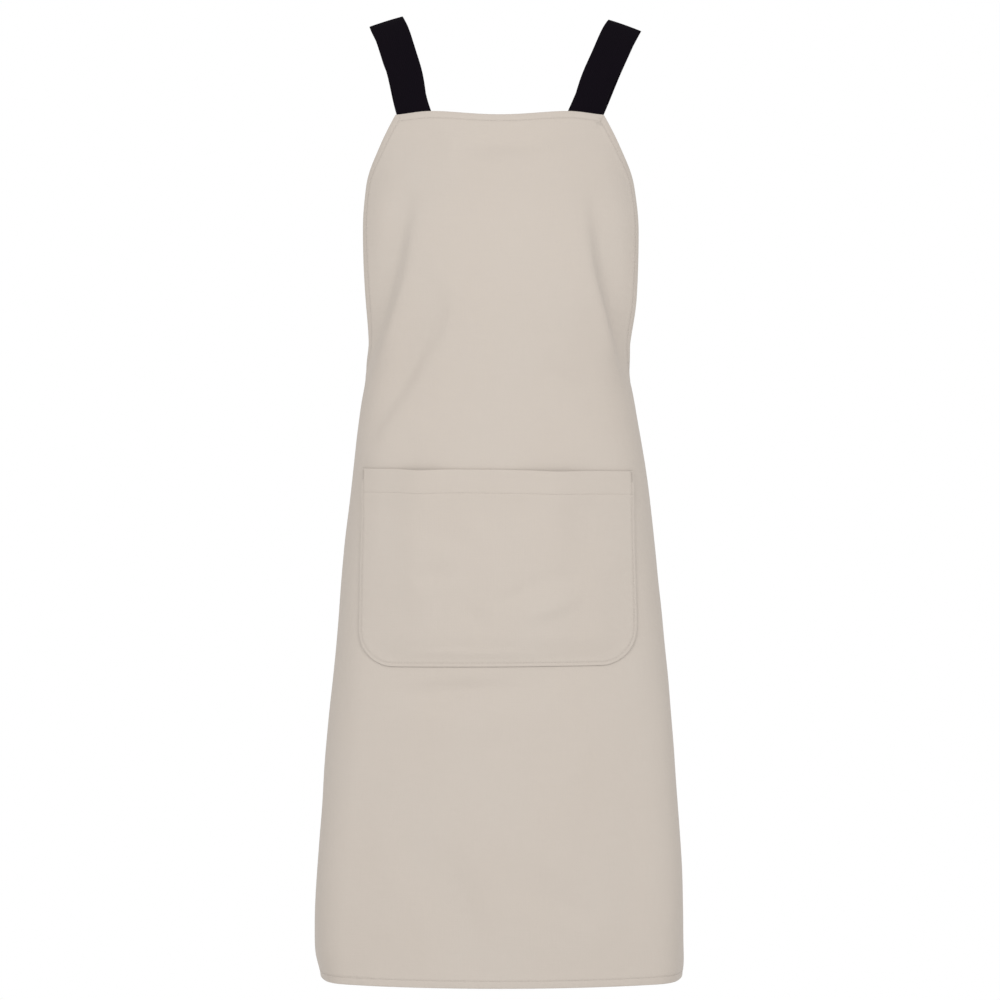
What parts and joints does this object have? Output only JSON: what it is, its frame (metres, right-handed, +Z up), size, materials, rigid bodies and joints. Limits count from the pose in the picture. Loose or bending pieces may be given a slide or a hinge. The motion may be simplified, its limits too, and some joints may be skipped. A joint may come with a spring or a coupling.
{
  "type": "cotton apron",
  "caption": "Long cross-back work apron of plain cotton with a wide patch pocket and crossed black tape straps, shaped as worn.",
  "frame": {"origin": "middle of the shoulder line, where the two straps rest on the wearer", "axes": "+Z up, -Y to the front of the apron, +X to the right as seen from the front"},
  "size_m": [0.3833, 0.2548, 1.0016],
  "materials": {
    "cotton": "matte plain weave",
    "cotton_hem": "matte plain weave",
    "tape": "matte ribbed"
  },
  "bodies": {
    "root": {"apron_panel": "cotton", "bib_top_hem": "cotton_hem", "left_armhole_hem": "cotton_hem", "right_armhole_hem": "cotton_hem", "left_side_hem": "cotton_hem", "right_side_hem": "cotton_hem", "bottom_hem": "cotton_hem", "front_pocket": "cotton", "pocket_mouth_hem": "cotton_hem", "left_shoulder_strap": "tape", "right_shoulder_strap": "tape"}
  },
  "joints": []
}
